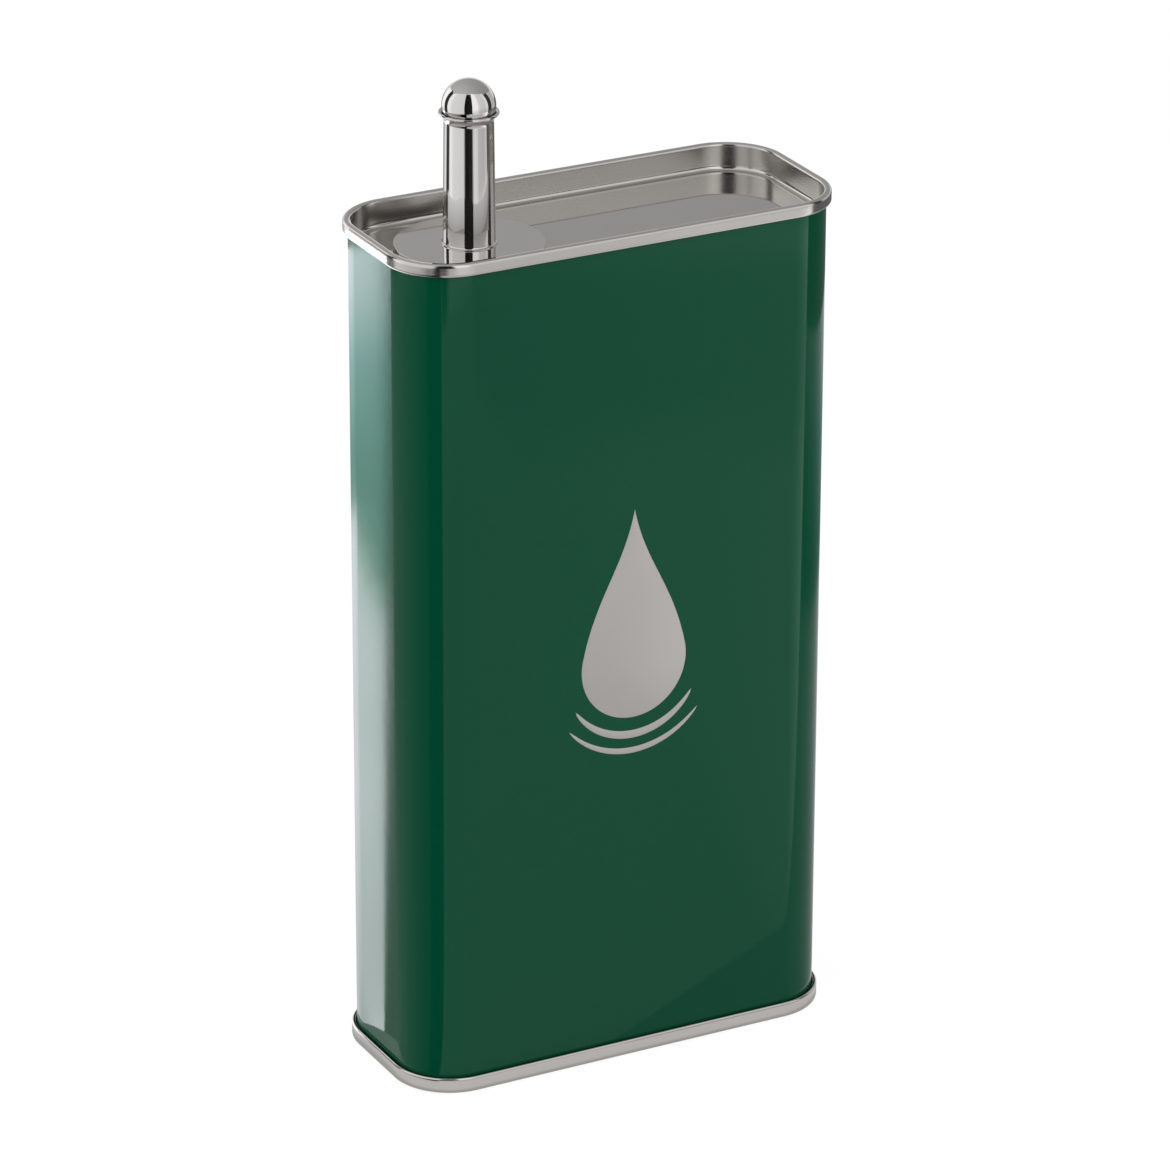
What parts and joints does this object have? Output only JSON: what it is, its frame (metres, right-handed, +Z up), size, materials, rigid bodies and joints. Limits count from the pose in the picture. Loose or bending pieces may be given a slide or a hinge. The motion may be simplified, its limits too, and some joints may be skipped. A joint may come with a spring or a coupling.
{
  "type": "olive oil tin with spout",
  "caption": "Tall slab tin for olive oil with double-seamed steel ends, a recessed top panel, a screw-in pouring spout and a ball stopper.",
  "frame": {"origin": "centre of the base, on the surface the tin stands on", "axes": "+Z up, +Y to the back of the tin, +X along its width away from the spout"},
  "size_m": [0.115, 0.05, 0.2469],
  "materials": {
    "green_lacquer": "dark green satin lacquer on steel sheet",
    "end_steel": "bright rolled stainless steel",
    "polished_steel": "mirror-polished stainless steel",
    "neck_steel": "turned stainless steel",
    "seam_compound": "cured sealing compound",
    "gasket_rubber": "pale food-grade rubber",
    "silicone": "pale satin silicone"
  },
  "bodies": {
    "tin": {"body_shell": "green_lacquer", "top_end": "end_steel", "bottom_end": "end_steel", "top_seam_seal": "seam_compound", "bottom_seam_seal": "seam_compound", "filler_neck": "neck_steel"},
    "gasket": {"spout_gasket": "gasket_rubber"},
    "spout": {"spout_disc": "polished_steel", "spout_plug": "neck_steel", "spout_tube": "polished_steel"},
    "stopper": {"stopper_ball": "polished_steel", "stopper_stem": "neck_steel", "stopper_seal": "silicone"}
  },
  "joints": [
    {"name": "spout_rise", "type": "slide", "parent": "tin", "child": "gasket", "axis": [0, 0, 1], "range_m": [0, 0.0075]},
    {"name": "spout_turn", "type": "hinge", "parent": "gasket", "child": "spout", "pos_m": [-0.0313, 0, 0.2063], "axis": [0, 0, 1], "range_deg": [0, 1080]},
    {"name": "stopper_lift", "type": "slide", "parent": "spout", "child": "stopper", "axis": [0, 0, 1], "range_m": [0, 0.02]}
  ],
  "couplings": [
    {"joint": "spout_rise", "follows": "spout_turn", "m_per_rad": 0.0003979}
  ]
}
